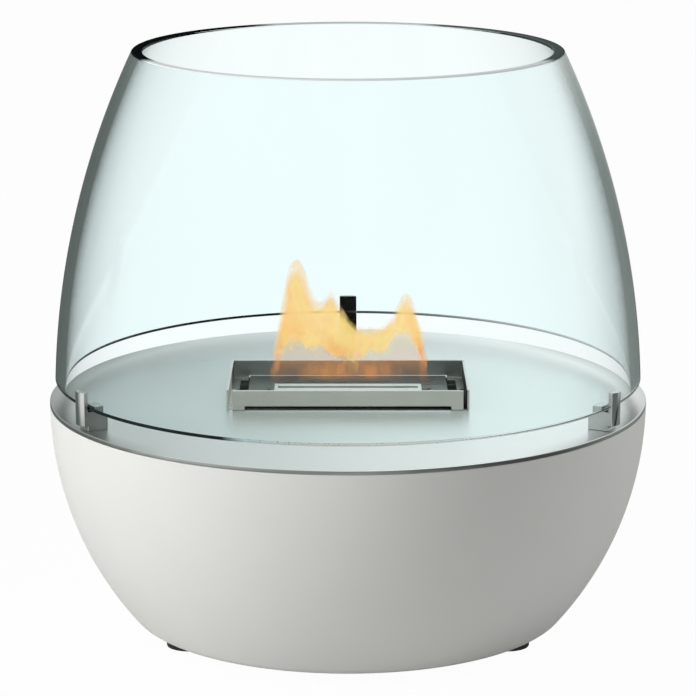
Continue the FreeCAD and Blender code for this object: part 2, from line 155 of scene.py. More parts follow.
bumpDepth = {"paint": 0.0002, "steel": 0.0001, "rubber": 0.0003, "glass": 0.001, "glassEdge": 0.0001}
middle = (-0.02, 0.02)  # where left turns into right, and front into rear


def matPaint(name, look):
    # matt powder paint: fine orange peel, faint cloudiness
    material, tree, shader = newMaterial(name)
    cloud = between(tree, noise(tree, look["cloudScale"], 4), 0, 1)
    grain = noise(tree, look["grainScale"], 2)
    setInputs(tree, shader, {
        "Base Color": blendColour(tree, cloud, look["dark"], look["light"]),
        "Roughness": between(tree, grain, *look["roughness"]),
        "Normal": bumpFrom(tree, grain, look["bump"], bumpDepth["paint"]),
        "Specular IOR Level": look["specular"]})
    return material


def paintedRimShade(tree, rim, tint):
    # painted shade: the plate is painted darker towards its rim at both sides, beside the holders, and its
    # outer edge gets a painted reflection, light at the left, dark at the right and light again at the far
    # right
    place = objectAxes(tree)
    reach = axisDistance(tree, place)
    beside = between(tree, maths(tree, "ABSOLUTE", place["X"]), 0, 1, *rim["beside"])
    shoulder = maths(tree, "MULTIPLY", between(tree, reach, 0, 1, *rim["shoulder"]), beside)
    tint = blendColour(tree, shoulder, tint, rim["dull"])
    outer = maths(tree, "GREATER_THAN", reach, rim["edge"])
    below = maths(tree, "LESS_THAN", place["Z"], rim["edgeTop"])
    tone = blendColour(tree, between(tree, place["X"], 0, 1, *rim["across"]), rim["left"], rim["right"])
    tone = blendColour(tree, between(tree, place["X"], 0, 1, *rim["farAcross"]), tone, rim["farRight"])
    return blendColour(tree, maths(tree, "MULTIPLY", outer, below), tint, tone)


# the least cloudiness at which the painted light and shade of the boxes show
steel = {"lineRough": 0.6, "cloudyGloss": 0.03, "leastStain": 0.85}


def satinSteel(name, look):
    # brushed along one axis, with fine lines and cloudy roughness
    # painted light and shade are boxes on the piece: (low, high, colour, loss of metal)
    material, tree, shader = newMaterial(name)
    lines = noise(tree, look["lineScale"], 2, look["along"], steel["lineRough"])
    cloud = noise(tree, look["cloudScale"], 3)
    tint = blendColour(tree, between(tree, cloud, 0, 1), look["dark"], look["light"])
    smudge = between(tree, cloud, -steel["cloudyGloss"], steel["cloudyGloss"])
    metal = look.get("metal", 1.0)
    # each box paints light or shade onto the steel
    for low, high, colour, loss in look.get("stains", []):
        mask = insideBox(tree, low, high)
        spread = maths(tree, "MULTIPLY", mask, between(tree, cloud, steel["leastStain"], 1))
        tint = blendColour(tree, spread, tint, colour)
        left = addNode(tree, "ShaderNodeMath", {0: mask, 1: -loss, 2: metal},
                       operation="MULTIPLY_ADD", use_clamp=True)
        metal = left.outputs["Value"]
    # painted shade and painted reflection on the plate's rim
    if "rim" in look:
        tint = paintedRimShade(tree, look["rim"], tint)
    setInputs(tree, shader, {
        "Base Color": tint,
        "Metallic": metal,
        "Roughness": maths(tree, "ADD", between(tree, lines, *look["roughness"]), smudge),
        "Normal": bumpFrom(tree, lines, look["bump"], bumpDepth["steel"]),
        "Specular IOR Level": look.get("specular", 0.5)})
    return material


def shadedHolderSteel(name, look):
    # holder steel with painted black shade where the post meets the glass and on the block's inner end
    material = satinSteel(name, look)
    tree = material.node_tree
    shader = tree.nodes["Principled BSDF"]
    place = objectAxes(tree)
    reach = axisDistance(tree, place)
    inner, outer = look["lining"]
    beside = maths(tree, "COMPARE", reach, (inner + outer) / 2, (outer - inner) / 2)
    above = maths(tree, "GREATER_THAN", place["Z"], look["liningFoot"])
    end = maths(tree, "LESS_THAN", reach, look["blockEnd"])
    # painted black shade on the post's face towards the glass and on the block's inner end
    paintedShade = maths(tree, "MAXIMUM", maths(tree, "MULTIPLY", beside, above), end)
    bare = shader.inputs["Base Color"].links[0].from_socket
    setInputs(tree, shader, {
        "Base Color": blendColour(tree, paintedShade, bare, look["black"]),
        "Metallic": maths(tree, "SUBTRACT", 1.0, paintedShade)})
    return material


def softGrain(name, look):
    # rubber, silicone and fibre
    material, tree, shader = newMaterial(name)
    grain = noise(tree, look["grainScale"], 3)
    setInputs(tree, shader, {
        "Base Color": blendColour(tree, between(tree, grain, 0, 1), look["dark"], look["light"]),
        "Roughness": between(tree, grain, *look["roughness"]),
        "Normal": bumpFrom(tree, grain, look["bump"], bumpDepth["rubber"])})
    return material


def clearGlass(name, look):
    # clear glass with a cold tint and a slight waviness
    material, tree, shader = newMaterial(name)
    wave = noise(tree, look["waveScale"], 1)
    setInputs(tree, shader, {
        "Base Color": blendColour(tree, between(tree, wave, 0, 1), look["dark"], look["light"]),
        "Normal": bumpFrom(tree, wave, look["bump"], bumpDepth["glass"]),
        "Roughness": 0.0,
        "IOR": look["ior"],
        "Specular Tint": (*look["mirror"], 1),
        "Transmission Weight": 1.0})
    return material


def groundEdge(name, look):
    # the ground lower edge of the glass with painted shade and painted light: dark at the left and clear at the
    # right, sooner so in front
    material, tree, shader = newMaterial(name)
    place = objectAxes(tree)
    front = between(tree, place["X"], 0, 1, *look["acrossFront"])
    rear = between(tree, place["X"], 0, 1, *look["acrossRear"])
    across = mixValue(tree, between(tree, place["Y"], 0, 1, *middle), front, rear)
    grain = noise(tree, look["grainScale"], 2)
    clearer = between(tree, place["X"], 0, 1, *look["throughAcross"])
    pale = blendColour(tree, clearer, look["grey"], look["light"])
    through = between(tree, place["X"], *look["through"], *look["throughAcross"])
    setInputs(tree, shader, {
        "Base Color": blendColour(tree, across, look["dark"], pale),
        "Transmission Weight": maths(tree, "MULTIPLY", across, through),
        "Roughness": between(tree, grain, *look["roughness"]),
        "Normal": bumpFrom(tree, grain, look["bump"], bumpDepth["glassEdge"]),
        "Specular IOR Level": look["specular"]})
    return material


def polishedRim(name, look):
    # the polished top edge of the glass with painted shade and painted reflection: deep dark at the left, grey
    # at the right, pale in front and behind
    material, tree, shader = newMaterial(name)
    place = objectAxes(tree)
    beside = between(tree, maths(tree, "ABSOLUTE", place["X"]), 0, 1, *look["beside"])
    deep = maths(tree, "MULTIPLY", beside, between(tree, place["Y"], 0, 1, *look["behind"]))
    sides = blendColour(tree, between(tree, place["X"], 0, 1, *middle), look["left"], look["right"])
    ends = blendColour(tree, between(tree, place["Y"], 0, 1, *middle), look["front"], look["rear"])
    grain = noise(tree, look["grainScale"], 2)
    setInputs(tree, shader, {
        "Base Color": blendColour(tree, deep, ends, sides),
        "Roughness": between(tree, grain, *look["roughness"]),
        "Normal": bumpFrom(tree, grain, look["bump"], bumpDepth["glassEdge"]),
        "Specular IOR Level": look["specular"]})
    return material


steelAcross = (0.012, 1, 1)  # brushed from left to right
# black for painted shade
shadeBlack = (0.012, 0.012, 0.012)
sheetLook = {"dark": (0.46, 0.47, 0.47), "light": (0.54, 0.55, 0.55), "cloudScale": 25, "lineScale": 1500,
             "along": steelAcross, "roughness": (0.32, 0.46), "bump": 0.03}
# painted shade and painted reflection on the plate's rim and outer edge
plateRimPaintedShade = {"shoulder": (0.186, 0.198), "beside": (0.11, 0.165), "dull": (0.50, 0.51, 0.505),
            "edge": 0.1992, "edgeTop": 0.15695,
            "across": (-0.12, 0.03), "left": (0.46, 0.47, 0.46), "right": (0.23, 0.235, 0.23),
            "farAcross": (0.12, 0.165), "farRight": (0.6, 0.6, 0.59)}
# the tray, all painted light and shade: painted grey shade inside, a painted lighter back wall, painted
# highlights on the top edges, painted black shade on the floor and in the slots, and at the front corner gaps a
# painted black right side wall and a painted light left side wall
trayPaintedShading = [((-0.0786, -0.0437, 0.1583), (0.0786, 0.0437, 0.1703), (0.30, 0.30, 0.285), 0.0),
              ((-0.0786, 0.0425, 0.1587), (0.0786, 0.0437, 0.1703), (0.50, 0.50, 0.48), 0.0),
              ((-0.081, -0.046, 0.17035), (0.081, 0.046, 0.171), (0.94, 0.95, 0.93), 0.6),
              ((-0.0676, -0.0437, 0.1583), (0.0676, 0.0437, 0.1587), shadeBlack, 1.0),
              ((-0.0682, -0.0452, 0.1570), (0.0682, 0.0452, 0.15855), shadeBlack, 1.0),
              ((0.0757, -0.0437, 0.1570), (0.0787, 0.01, 0.1704), shadeBlack, 1.0),
              ((-0.0787, -0.0437, 0.1570), (-0.0757, 0.01, 0.1704), (0.90, 0.91, 0.89), 0.6)]
finishes = {
    "bowl_paint": matPaint("bowlPaint", {
        "dark": (0.80, 0.80, 0.765), "light": (0.83, 0.83, 0.80), "cloudScale": 9, "grainScale": 1400,
        "roughness": (0.5, 0.62), "bump": 0.12, "specular": 0.35}),
    "plate_steel": satinSteel("plateSteel", {
        "dark": (0.77, 0.79, 0.79), "light": (0.81, 0.83, 0.835), "cloudScale": 7, "metal": 0.96,
        "rim": plateRimPaintedShade, "lineScale": 1800, "along": steelAcross, "roughness": (0.30, 0.38), "bump": 0.03}),
    # holders with painted black shade on their inner faces
    "holder_steel": shadedHolderSteel("holderSteel", {
        "dark": (0.58, 0.58, 0.57), "light": (0.66, 0.66, 0.65), "cloudScale": 60, "specular": 0.0,
        "lineScale": 2200, "along": (1, 1, 0.02), "roughness": (0.16, 0.24), "bump": 0.03,
        "black": (0.004, 0.004, 0.004), "lining": (0.191, 0.1969), "liningFoot": 0.1718, "blockEnd": 0.1828}),
    "zinc_screws": satinSteel("zincScrews", {
        "dark": (0.60, 0.61, 0.62), "light": (0.70, 0.71, 0.72), "cloudScale": 200,
        "lineScale": 900, "along": (1, 1, 1), "roughness": (0.28, 0.42), "bump": 0.03}),
    "sheet_steel": satinSteel("sheetSteel", sheetLook),
    "burner_steel": satinSteel("burnerSteel", {
        "dark": (0.57, 0.535, 0.49), "light": (0.63, 0.59, 0.54), "cloudScale": 30, "specular": 0.0,
        # painted light and shade on the tray
        "stains": trayPaintedShading,
        "lineScale": 2000, "along": steelAcross, "roughness": (0.28, 0.38), "bump": 0.04}),
    "slide_steel": satinSteel("slideSteel", {
        "dark": (0.13, 0.13, 0.125), "light": (0.19, 0.19, 0.185), "cloudScale": 45,
        "lineScale": 2000, "along": steelAcross, "roughness": (0.26, 0.36), "bump": 0.04}),
    "pad_silicone": softGrain("padSilicone", {
        "dark": (0.07, 0.07, 0.07), "light": (0.11, 0.11, 0.11), "grainScale": 700,
        "roughness": (0.4, 0.55), "bump": 0.1}),
    "foot_rubber": softGrain("footRubber", {
        "dark": (0.014, 0.014, 0.014), "light": (0.03, 0.03, 0.03), "grainScale": 900,
        "roughness": (0.6, 0.8), "bump": 0.25}),
    "black_base": matPaint("blackBase", {
        "dark": (0.03, 0.03, 0.03), "light": (0.05, 0.05, 0.05), "cloudScale": 30, "grainScale": 1200,
        "roughness": (0.5, 0.65), "bump": 0.2, "specular": 0.35}),
    "fibre_wool": softGrain("fibreWool", {
        "dark": (0.72, 0.71, 0.66), "light": (0.90, 0.89, 0.85), "grainScale": 350,
        "roughness": (0.9, 1.0), "bump": 0.9}),
    "shade_glass": clearGlass("shadeGlass", {
        "dark": (0.925, 0.996, 0.996), "light": (0.935, 0.999, 0.999), "waveScale": 5,
        "bump": 0.0005, "ior": 1.5, "mirror": (0.08, 0.08, 0.08)}),
}
# lower glass edge with painted shade and painted light
lowerEdgeShading = groundEdge("groundEdge", {
    "dark": (0.012, 0.016, 0.016), "grey": (0.52, 0.63, 0.66), "light": (0.80, 0.85, 0.84),
    "acrossFront": (-0.078, -0.064), "acrossRear": (-0.02, 0.25),
    "through": (0.6, 1.0), "throughAcross": (-0.06, 0.1),
    "grainScale": 900, "roughness": (0.25, 0.4), "bump": 0.1, "specular": 0.1})
# top glass edge with painted shade and painted reflection
upperEdgeShading = polishedRim("polishedRim", {
    "left": (0.006, 0.009, 0.009), "right": (0.11, 0.135, 0.13),
    "front": (0.94, 0.99, 0.98), "rear": (0.74, 0.80, 0.79),
    "beside": (0.05, 0.066), "behind": (-0.062, -0.048),
    "grainScale": 700, "roughness": (0.06, 0.12), "bump": 0.03, "specular": 0.0})
# nodes whose finish differs from the rest of their slot: painted shade inside the tank, a dark screen, a
# brighter collar
tankLow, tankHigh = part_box("fuel_tank")
tankWall = Vector((0.0006, 0.0006, 0.0006))
tankOpen = Vector((0, 0, 0.002))
ownFinish = {
    # painted shade inside the tank and in its opening
    "fuel_tank": satinSteel("tankSteel", {
        **sheetLook, "specular": 0.0,
        "stains": [(tankLow + tankWall, tankHigh - tankWall + tankOpen, (0.025, 0.024, 0.023), 1.0)]}),
    "absorber_screen": satinSteel("screenSteel", {
        "dark": (0.02, 0.02, 0.02), "light": (0.05, 0.048, 0.045), "cloudScale": 40,
        "metal": 0.3, "specular": 0.1,
        "lineScale": 1500, "along": steelAcross, "roughness": (0.4, 0.55), "bump": 0.03}),
    "slider_collar": satinSteel("collarSteel", {
        "dark": (0.80, 0.81, 0.80), "light": (0.86, 0.87, 0.86), "cloudScale": 45, "metal": 0.5,
        "lineScale": 2000, "along": steelAcross, "roughness": (0.24, 0.34), "bump": 0.04}),
}
print("finishes made:", len(finishes) + len(ownFinish))


def dress(piece, nodeName):
    piece.data.materials.clear()
    piece.data.materials.append(ownFinish.get(nodeName, finishes[slotOf[nodeName]]))


for nodeName, node in nodes.items():
    dress(node, nodeName)


def linkMesh(name, bm):
    mesh = bpy.data.meshes.new(name)
    bm.to_mesh(mesh)
    bm.free()
    piece = bpy.data.objects.new(name, mesh)
    bpy.context.scene.collection.objects.link(piece)
    return piece


def newPiece(name, bm, nodeName):
    # a finished piece that stands for a node and rides on the node's body
    piece = linkMesh(name, bm)
    dress(piece, nodeName)
    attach(piece, bodyOf[nodeName])
    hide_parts(nodeName)
    return piece


# round pieces: half a profile is drawn in the xz plane and spun
profile = {"merge": 1e-6, "rimSegments": 3, "glassSegments": 4}


def arcCentre(low, high, bulge):
    # centre and radius of the arc between two profile points that bulges away from the axis
    chord = high - low
    radius = (chord.length ** 2 / 4 + bulge ** 2) / (2 * bulge)
    out = Vector((chord.y, -chord.x)).normalized()
    return (low + high) / 2 - out * (radius - bulge), radius


def arcReach(centre, radius, level):
    # the arc's point at a level
    return Vector((centre.x + math.sqrt(radius ** 2 - (level - centre.y) ** 2), level))


def drawTurn(bm, centre, start, end, steps):
    # turns one vertex about the centre, from start to end
    first, last = start - centre, end - centre
    turn = math.atan2(first.x * last.y - first.y * last.x, first.dot(last))
    vert = bm.verts.new((start.x, 0, start.y))
    bmesh.ops.spin(bm, geom=[vert], cent=(centre.x, 0, centre.y), axis=(0, -1, 0), angle=turn, steps=steps)


def joinEnds(bm, points):
    # straight runs of a profile between points that are there already or are new
    bm.verts.ensure_lookup_table()
    made = []
    for point in points:
        spot = Vector((point[0], 0, point[1]))
        near = [v for v in bm.verts if (v.co - spot).length < profile["merge"]]
        made.append(near[0] if near else bm.verts.new(spot))
    for first, second in zip(made, made[1:]):
        bm.edges.new((first, second))


def roundCorners(bm, points, radius, segments):
    for point in points:
        spot = Vector((point[0], 0, point[1]))
        corner = min(bm.verts, key=lambda v: (v.co - spot).length)
        bmesh.ops.bevel(bm, geom=[corner], offset=radius, offset_type="OFFSET", affect="VERTICES",
                        segments=segments, profile=0.5, material=-1)


def holdShading(bm, levels):
    # a ring of points close to each rounded edge, so that the long wall's shading stays true
    for level in levels:
        bmesh.ops.bisect_plane(bm, geom=bm.verts[:] + bm.edges[:], plane_co=(0, 0, level), plane_no=(0, 0, 1))


def spinRound(bm, steps):
    bmesh.ops.remove_doubles(bm, verts=bm.verts, dist=profile["merge"])
    bmesh.ops.spin(bm, geom=bm.verts[:] + bm.edges[:], cent=(0, 0, 0), axis=(0, 0, 1), angle=math.tau,
                   steps=steps, use_merge=True)
    bmesh.ops.remove_doubles(bm, verts=bm.verts, dist=profile["merge"])
    bmesh.ops.recalc_face_normals(bm, faces=bm.faces)
    for face in bm.faces:
        face.smooth = True


glass = {"baseRadius": 0.1961, "rimRadius": 0.1422, "low": 0.1714, "high": 0.3909, "bulge": 0.0117,
         "wall": 0.0065, "edgeRound": 0.0012, "hold": 0.0016, "groundHeight": 0.0013, "rimDepth": 0.0009,
         "arcSteps": 48, "steps": 240}


def makeGlass():
    bm = bmesh.new()
    low = Vector((glass["baseRadius"], glass["low"]))
    high = Vector((glass["rimRadius"], glass["high"]))
    centre, radius = arcCentre(low, high, glass["bulge"])
    innerLow = arcReach(centre, radius - glass["wall"], low.y)
    innerHigh = arcReach(centre, radius - glass["wall"], high.y)
    drawTurn(bm, centre, low, high, glass["arcSteps"])
    drawTurn(bm, centre, innerLow, innerHigh, glass["arcSteps"])
    joinEnds(bm, [low, innerLow])
    joinEnds(bm, [high, innerHigh])
    roundCorners(bm, [low, high, innerLow, innerHigh], glass["edgeRound"], profile["glassSegments"])
    holdShading(bm, [low.y + glass["hold"], high.y - glass["hold"]])
    spinRound(bm, glass["steps"])
    piece = newPiece("glassShade", bm, "glass_shade")
    piece.data.materials.append(lowerEdgeShading)
    piece.data.materials.append(upperEdgeShading)
    points = piece.data.vertices
    for face in piece.data.polygons:
        levels = [points[i].co.z for i in face.vertices]
        if max(levels) < glass["low"] + glass["groundHeight"]:
            face.material_index = 1
        elif min(levels) > glass["high"] - glass["rimDepth"]:
            face.material_index = 2
    piece.visible_shadow = False  # lamps reach the plate and the burner through it


bowl = {"baseRadius": 0.143, "rimRadius": 0.2, "low": 0.006, "high": 0.1545, "bulge": 0.0145, "wall": 0.003,
        "baseRound": 0.014, "flange": 0.178, "flangeThick": 0.004, "access": 0.092,
        "edgeRound": 0.0006, "hold": 0.001, "arcSteps": 40, "roundSteps": 8, "steps": 240}


def makeBowl():
    bm = bmesh.new()
    high = Vector((bowl["rimRadius"], bowl["high"]))
    centre, radius = arcCentre(Vector((bowl["baseRadius"], bowl["low"])), high, bowl["bulge"])
    inner = radius - bowl["wall"]
    floor = bowl["low"] + bowl["wall"]
    under = bowl["high"] - bowl["flangeThick"]
    # the rounded base edge: its centre, and the direction in which it meets the wall
    corner = arcReach(centre, radius - bowl["baseRound"], bowl["low"] + bowl["baseRound"])
    meet = (corner - centre).normalized()
    innerHigh = arcReach(centre, inner, under)
    drawTurn(bm, centre, centre + meet * radius, high, bowl["arcSteps"])
    drawTurn(bm, corner, Vector((corner.x, bowl["low"])), centre + meet * radius, bowl["roundSteps"])
    drawTurn(bm, centre, centre + meet * inner, innerHigh, bowl["arcSteps"])
    drawTurn(bm, corner, Vector((corner.x, floor)), centre + meet * inner, bowl["roundSteps"])
    bmesh.ops.remove_doubles(bm, verts=bm.verts, dist=profile["merge"])
    access, flange = bowl["access"], bowl["flange"]
    joinEnds(bm, [(corner.x, bowl["low"]), (access, bowl["low"]), (access, floor), (corner.x, floor)])
    joinEnds(bm, [high, (flange, bowl["high"]), (flange, under), innerHigh])
    rimCorners = [high, (flange, bowl["high"]), (flange, under)]
    roundCorners(bm, rimCorners, bowl["edgeRound"], profile["rimSegments"])
    holdShading(bm, [high.y - bowl["hold"]])
    spinRound(bm, bowl["steps"])
    newPiece("bowlShell", bm, "bowl_shell")


makeGlass()
makeBowl()
print("round pieces made")

# the lip inside the glass on each holder's block: where it ends, how high it stands, each holder's bearing
lip = {"outer": 0.1884, "height": 0.003, "blockTop": 0.1705, "near": 0.0002, "upright": 0.9,
       "holders": {"glass_holder_left": 210, "glass_holder_right": -30, "glass_holder_rear": 90}}


def blockTops(bm):
    return [f for f in bm.faces if f.normal.z > lip["upright"]
            and abs(f.calc_center_median().z - lip["blockTop"]) < lip["near"]]


def raiseLip(bm, bearing):
    # the inner part of the block's top goes up
    away = Vector((math.cos(math.radians(bearing)), math.sin(math.radians(bearing)), 0))
    tops = blockTops(bm)
    parts = set(tops) | {e for f in tops for e in f.edges} | {v for f in tops for v in f.verts}
    bmesh.ops.bisect_plane(bm, geom=list(parts), plane_co=away * lip["outer"], plane_no=away)
    inner = [f for f in blockTops(bm) if f.calc_center_median().dot(away) < lip["outer"]]
    raised = bmesh.ops.extrude_face_region(bm, geom=inner)["geom"]
    corners = [part for part in raised if isinstance(part, bmesh.types.BMVert)]
    bmesh.ops.translate(bm, vec=(0, 0, lip["height"]), verts=corners)
    bmesh.ops.delete(bm, geom=inner, context="FACES_KEEP_BOUNDARY")
    joinFlats(bm)
    bmesh.ops.recalc_face_normals(bm, faces=bm.faces)


# the tray's back wall runs on to the outer faces of the side walls
backWall = {"from": 0.043, "endBefore": 0.0761, "endAfter": 0.0799, "near": 0.0002}


def closeBackCorners(bm):
    for vert in bm.verts:
        if vert.co.y > backWall["from"] and abs(abs(vert.co.x) - backWall["endBefore"]) < backWall["near"]:
            vert.co.x = math.copysign(backWall["endAfter"], vert.co.x)


# sheet and machined pieces: copies of the nodes with their edges broken by these widths
edges = {"glass_holder_left": 0.0004, "glass_holder_right": 0.0004, "glass_holder_rear": 0.0004,
         "burner_tray": 0.0003, "slider_plate": 0.0003, "slider_collar": 0.0003, "top_plate": 0.0006,
         "seat_pad_left": 0.0002, "seat_pad_right": 0.0002, "seat_pad_rear": 0.0002,
         "foot_left": 0.001, "foot_right": 0.001, "foot_rear": 0.001,
         "fuel_tank": 0.0003, "spill_tray": 0.0003, "base_plate": 0.0005, "foot_screws": 0.0002}
copying = {"merge": 2e-6, "flat": math.radians(0.3), "sharp": math.radians(30), "bends": (0.005, 0.5)}


def joinFlats(bm):
    bmesh.ops.dissolve_limit(bm, angle_limit=copying["flat"], verts=bm.verts, edges=bm.edges)


def roundedCopy(nodeName, width):
    bm = bmesh.new()
    bm.from_mesh(nodes[nodeName].data)
    bmesh.ops.remove_doubles(bm, verts=bm.verts, dist=copying["merge"])
    joinFlats(bm)
    if nodeName in lip["holders"]:
        raiseLip(bm, lip["holders"][nodeName])
    if nodeName == "burner_tray":
        closeBackCorners(bm)
    least, most = copying["bends"]
    for face in bm.faces:  # flats stay flat, turned faces run smooth
        face.smooth = any(least < edge.calc_face_angle(0) < most for edge in face.edges)
    words = nodeName.split("_")
    piece = newPiece(words[0] + "".join(w.capitalize() for w in words[1:]), bm, nodeName)
    bevel = piece.modifiers.new("brokenEdges", "BEVEL")
    bevel.width = width
    bevel.segments = 2
    bevel.limit_method = "ANGLE"
    bevel.angle_limit = copying["sharp"]
    bevel.harden_normals = True


for nodeName, width in edges.items():
    roundedCopy(nodeName, width)
print("edges broken on", len(edges), "pieces")

# the fibre block in the tank: a soft-edged, slightly lumpy slab
wool = {"inset": 0.0004, "round": 0.004, "roundSegments": 4, "longEdge": 0.01, "cuts": 14, "lump": 0.0014,
        "lumpScale": 140, "fill": 0.6}


def makeWool():
    low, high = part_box("absorber_block")
    bm = bmesh.new()
    bmesh.ops.create_cube(bm, size=1)
    bmesh.ops.scale(bm, vec=high - low - Vector((2, 2, 2)) * wool["inset"], verts=bm.verts)
    bmesh.ops.translate(bm, vec=(low + high) / 2, verts=bm.verts)
    bmesh.ops.bevel(bm, geom=bm.edges[:], offset=wool["round"], affect="EDGES",
                    segments=wool["roundSegments"], profile=0.5, material=-1)
    long = [edge for edge in bm.edges if edge.calc_length() > wool["longEdge"]]
    bmesh.ops.subdivide_edges(bm, edges=long, cuts=wool["cuts"], use_grid_fill=True)
    bm.normal_update()
    for vert in bm.verts:  # the lumps only go inwards
        dip = 0.5 + 0.5 * softNoise(vert.co * wool["lumpScale"])
        vert.co -= vert.normal * dip * wool["lump"]
    for face in bm.faces:
        face.smooth = True
    piece = newPiece("absorberBlock", bm, "absorber_block")


makeWool()
print("fibre block made")

# flame: two nested closed curtains over the slot; outline and the dense body's lower edge in mm,
# as (x, height above the plate)
flame = {"outline": [(-55, 2), (-53.3, 15), (-51, 29), (-48.5, 43), (-46.3, 56), (-44, 68), (-42.3, 78),
                     (-40.3, 86), (-36.8, 91.5), (-31.8, 92), (-28.5, 85), (-25.5, 76), (-22.5, 69),
                     (-19.2, 64), (-16, 66.5), (-12.2, 71), (-8.8, 69), (-4.5, 61), (0.5, 53), (6, 47.5),
                     (14, 47), (22, 48), (28, 54), (31.8, 61), (35.3, 67.5), (39.3, 70), (43, 66.5),
                     (46.2, 58), (49.4, 48), (52, 37), (54.3, 20), (56, 2)],
         "bodyFloor": [(-57, 10), (-50, 25), (-44, 33), (-39, 38), (-30, 38), (-20, 35.5), (-15.8, 33.5),
                       (-11.7, 30), (-6.4, 27), (1.7, 25), (9.7, 27.5), (17.8, 29.7), (25.8, 34.5), (31, 41),
                       (35, 43), (42, 42), (46.6, 33), (50, 23), (57, 6)],
         "plate": 0.1575, "base": 0.1525, "columns": 110, "rows": 34, "samples": 500, "merge": 1e-5,
         "neck": 0.0016, "neckTop": 0.165, "flowOut": 0.045, "halfWidth": 0.05, "sideTaper": 12,
         "slotShare": 0.84, "footLow": 0.1585, "footHigh": 0.1605,
         "sway": 0.002, "swayAcross": 90, "swayUp": 40, "shut": 0.01,
         "tones": [(0.0, (0.95, 0.23, 0.055)), (0.28, (1.0, 0.37, 0.09)), (0.45, (1.0, 0.56, 0.19)),
                   (0.6, (1.03, 0.74, 0.24)), (0.8, (1.03, 0.70, 0.30)), (1.0, (0.98, 0.57, 0.25))]}
curtains = {"flameOuter": {"share": 1.0, "inset": 0.0, "depth": 0.0085,
                           "seed": 0.0, "warmth": -0.18, "belly": 0.38},
            "flameInner": {"share": 0.93, "inset": 0.0025, "depth": 0.004,
                           "seed": 3.7, "warmth": 0.02, "belly": 0.7}}
# noises that tear the flame, as (to low, to high, from low, from high)
swirl = {"scales": (75, 32), "stretch": (1, 1, 0.5), "detail": 4, "distortion": 1.2,
         "specks": 230, "licks": 210,
         "level": (-0.13, 0.13, 0.25, 0.75), "body": (-8, 8, 0.25, 0.75), "speck": (-2.5, 2.5, 0.3, 0.7),
         "patch": (0.5, 1.1, 0.32, 0.58), "ragged": (-4, 3.5, 0.25, 0.75),
         "warmSpread": 0.24, "warmFrom": (0.32, 0.68)}
# how dense and warm it is, as (from low, from high, to low, to high): heights in m, gaps to the edges in mm
flow = {"body": (-4.5, 3.5), "bodyHeight": (0.170, 0.192, 0.2, 1.0),
        "foldIn": (-1.5, 1, 0.0, 1.0), "foldOut": (1.5, 5, 1.0, 0.0), "fold": 0.14,
        "veil": (0.166, 0.185, 0.0, 0.075), "drift": 0.06,
        "footIn": (0.165, 0.174, 0.0, 0.18), "footOut": (0.175, 0.188, 1.0, 0.0),
        "footSides": (0.12, 0.36, 1.0, 0.2), "footLicks": (0.28, 0.72, 0.3, 1.3),
        "streakIn": (0.5, 3, 0.0, 0.17), "streakOut": (4, 9, 1.0, 0.0),
        "streakHeight": (0.162, 0.178, 0.0, 1.0),
        "raggedEdge": (-1, 5, 0.0, 1.0), "lastEdge": (0, 1.5, 0.0, 1.0),
        "warmHeight": (0.165, 0.195, 0.2, 1.0), "coolEdge": (2, 10, 0.3, 0.0),
        "warmFold": 0.12, "leastWarm": 0.28}


def curveHeight(points, x):
    # smooth curve through points that run from left to right
    x = max(points[0][0], min(points[-1][0], x))
    spot = max(i for i in range(len(points) - 1) if points[i][0] <= x)
    (leftX, leftZ), (rightX, rightZ) = points[spot], points[spot + 1]
    before, after = points[max(spot - 1, 0)], points[min(spot + 2, len(points) - 1)]
    reach = rightX - leftX
    leave = (rightZ - before[1]) / (rightX - before[0]) * reach
    arrive = (after[1] - leftZ) / (after[0] - leftX) * reach
    t = (x - leftX) / reach
    rise = (3 - 2 * t) * t * t
    return leftZ + (rightZ - leftZ) * rise + leave * t * (1 - t) ** 2 - arrive * t * t * (1 - t)


def flameDensity(tree, look, fine, broad, shift, gap, height, across):
    # the dense upper body, the thin veil under it, the red glow low down and a streak along each side
    above = addNode(tree, "ShaderNodeAttribute", attribute_name="bodyGap").outputs["Fac"]
    above = maths(tree, "ADD", above, between(tree, fine, *swirl["body"]))
    above = maths(tree, "ADD", above, between(tree, noise(tree, swirl["specks"], 3), *swirl["speck"]))
    belly = softStep(tree, above, *flow["body"], 0.0, look["belly"])
    belly = maths(tree, "MULTIPLY", belly, softStep(tree, height, *flow["bodyHeight"]))
    belly = maths(tree, "MULTIPLY", belly, between(tree, broad, *swirl["patch"]))
    fold = maths(tree, "MULTIPLY", softStep(tree, above, *flow["foldIn"]),
                 softStep(tree, above, *flow["foldOut"]))
    belly = maths(tree, "ADD", belly, maths(tree, "MULTIPLY", fold, flow["fold"]))
    veil = softStep(tree, height, *flow["veil"])
    drift = maths(tree, "ADD", height, maths(tree, "MULTIPLY", shift, flow["drift"]))
    sideways = maths(tree, "ABSOLUTE", maths(tree, "SUBTRACT", across, 0.5))
    licks = noise(tree, swirl["licks"], 3, (1, 1, 0.2))
    foot = maths(tree, "MULTIPLY", softStep(tree, height, *flow["footIn"]),
                 softStep(tree, drift, *flow["footOut"]))
    foot = maths(tree, "MULTIPLY", foot, softStep(tree, sideways, *flow["footSides"]))
    foot = maths(tree, "MULTIPLY", foot, softStep(tree, licks, *flow["footLicks"]))
    streak = maths(tree, "MULTIPLY", softStep(tree, gap, *flow["streakIn"]),
                   softStep(tree, gap, *flow["streakOut"]))
    streak = maths(tree, "MULTIPLY", streak, softStep(tree, height, *flow["streakHeight"]))
    alpha = belly
    for other in (veil, foot, streak):
        alpha = maths(tree, "MAXIMUM", alpha, other)
    ragged = maths(tree, "ADD", gap, between(tree, fine, *swirl["ragged"]))
    seen = maths(tree, "MULTIPLY", alpha, softStep(tree, ragged, *flow["raggedEdge"]))
    return maths(tree, "MULTIPLY", seen, softStep(tree, gap, *flow["lastEdge"])), fold


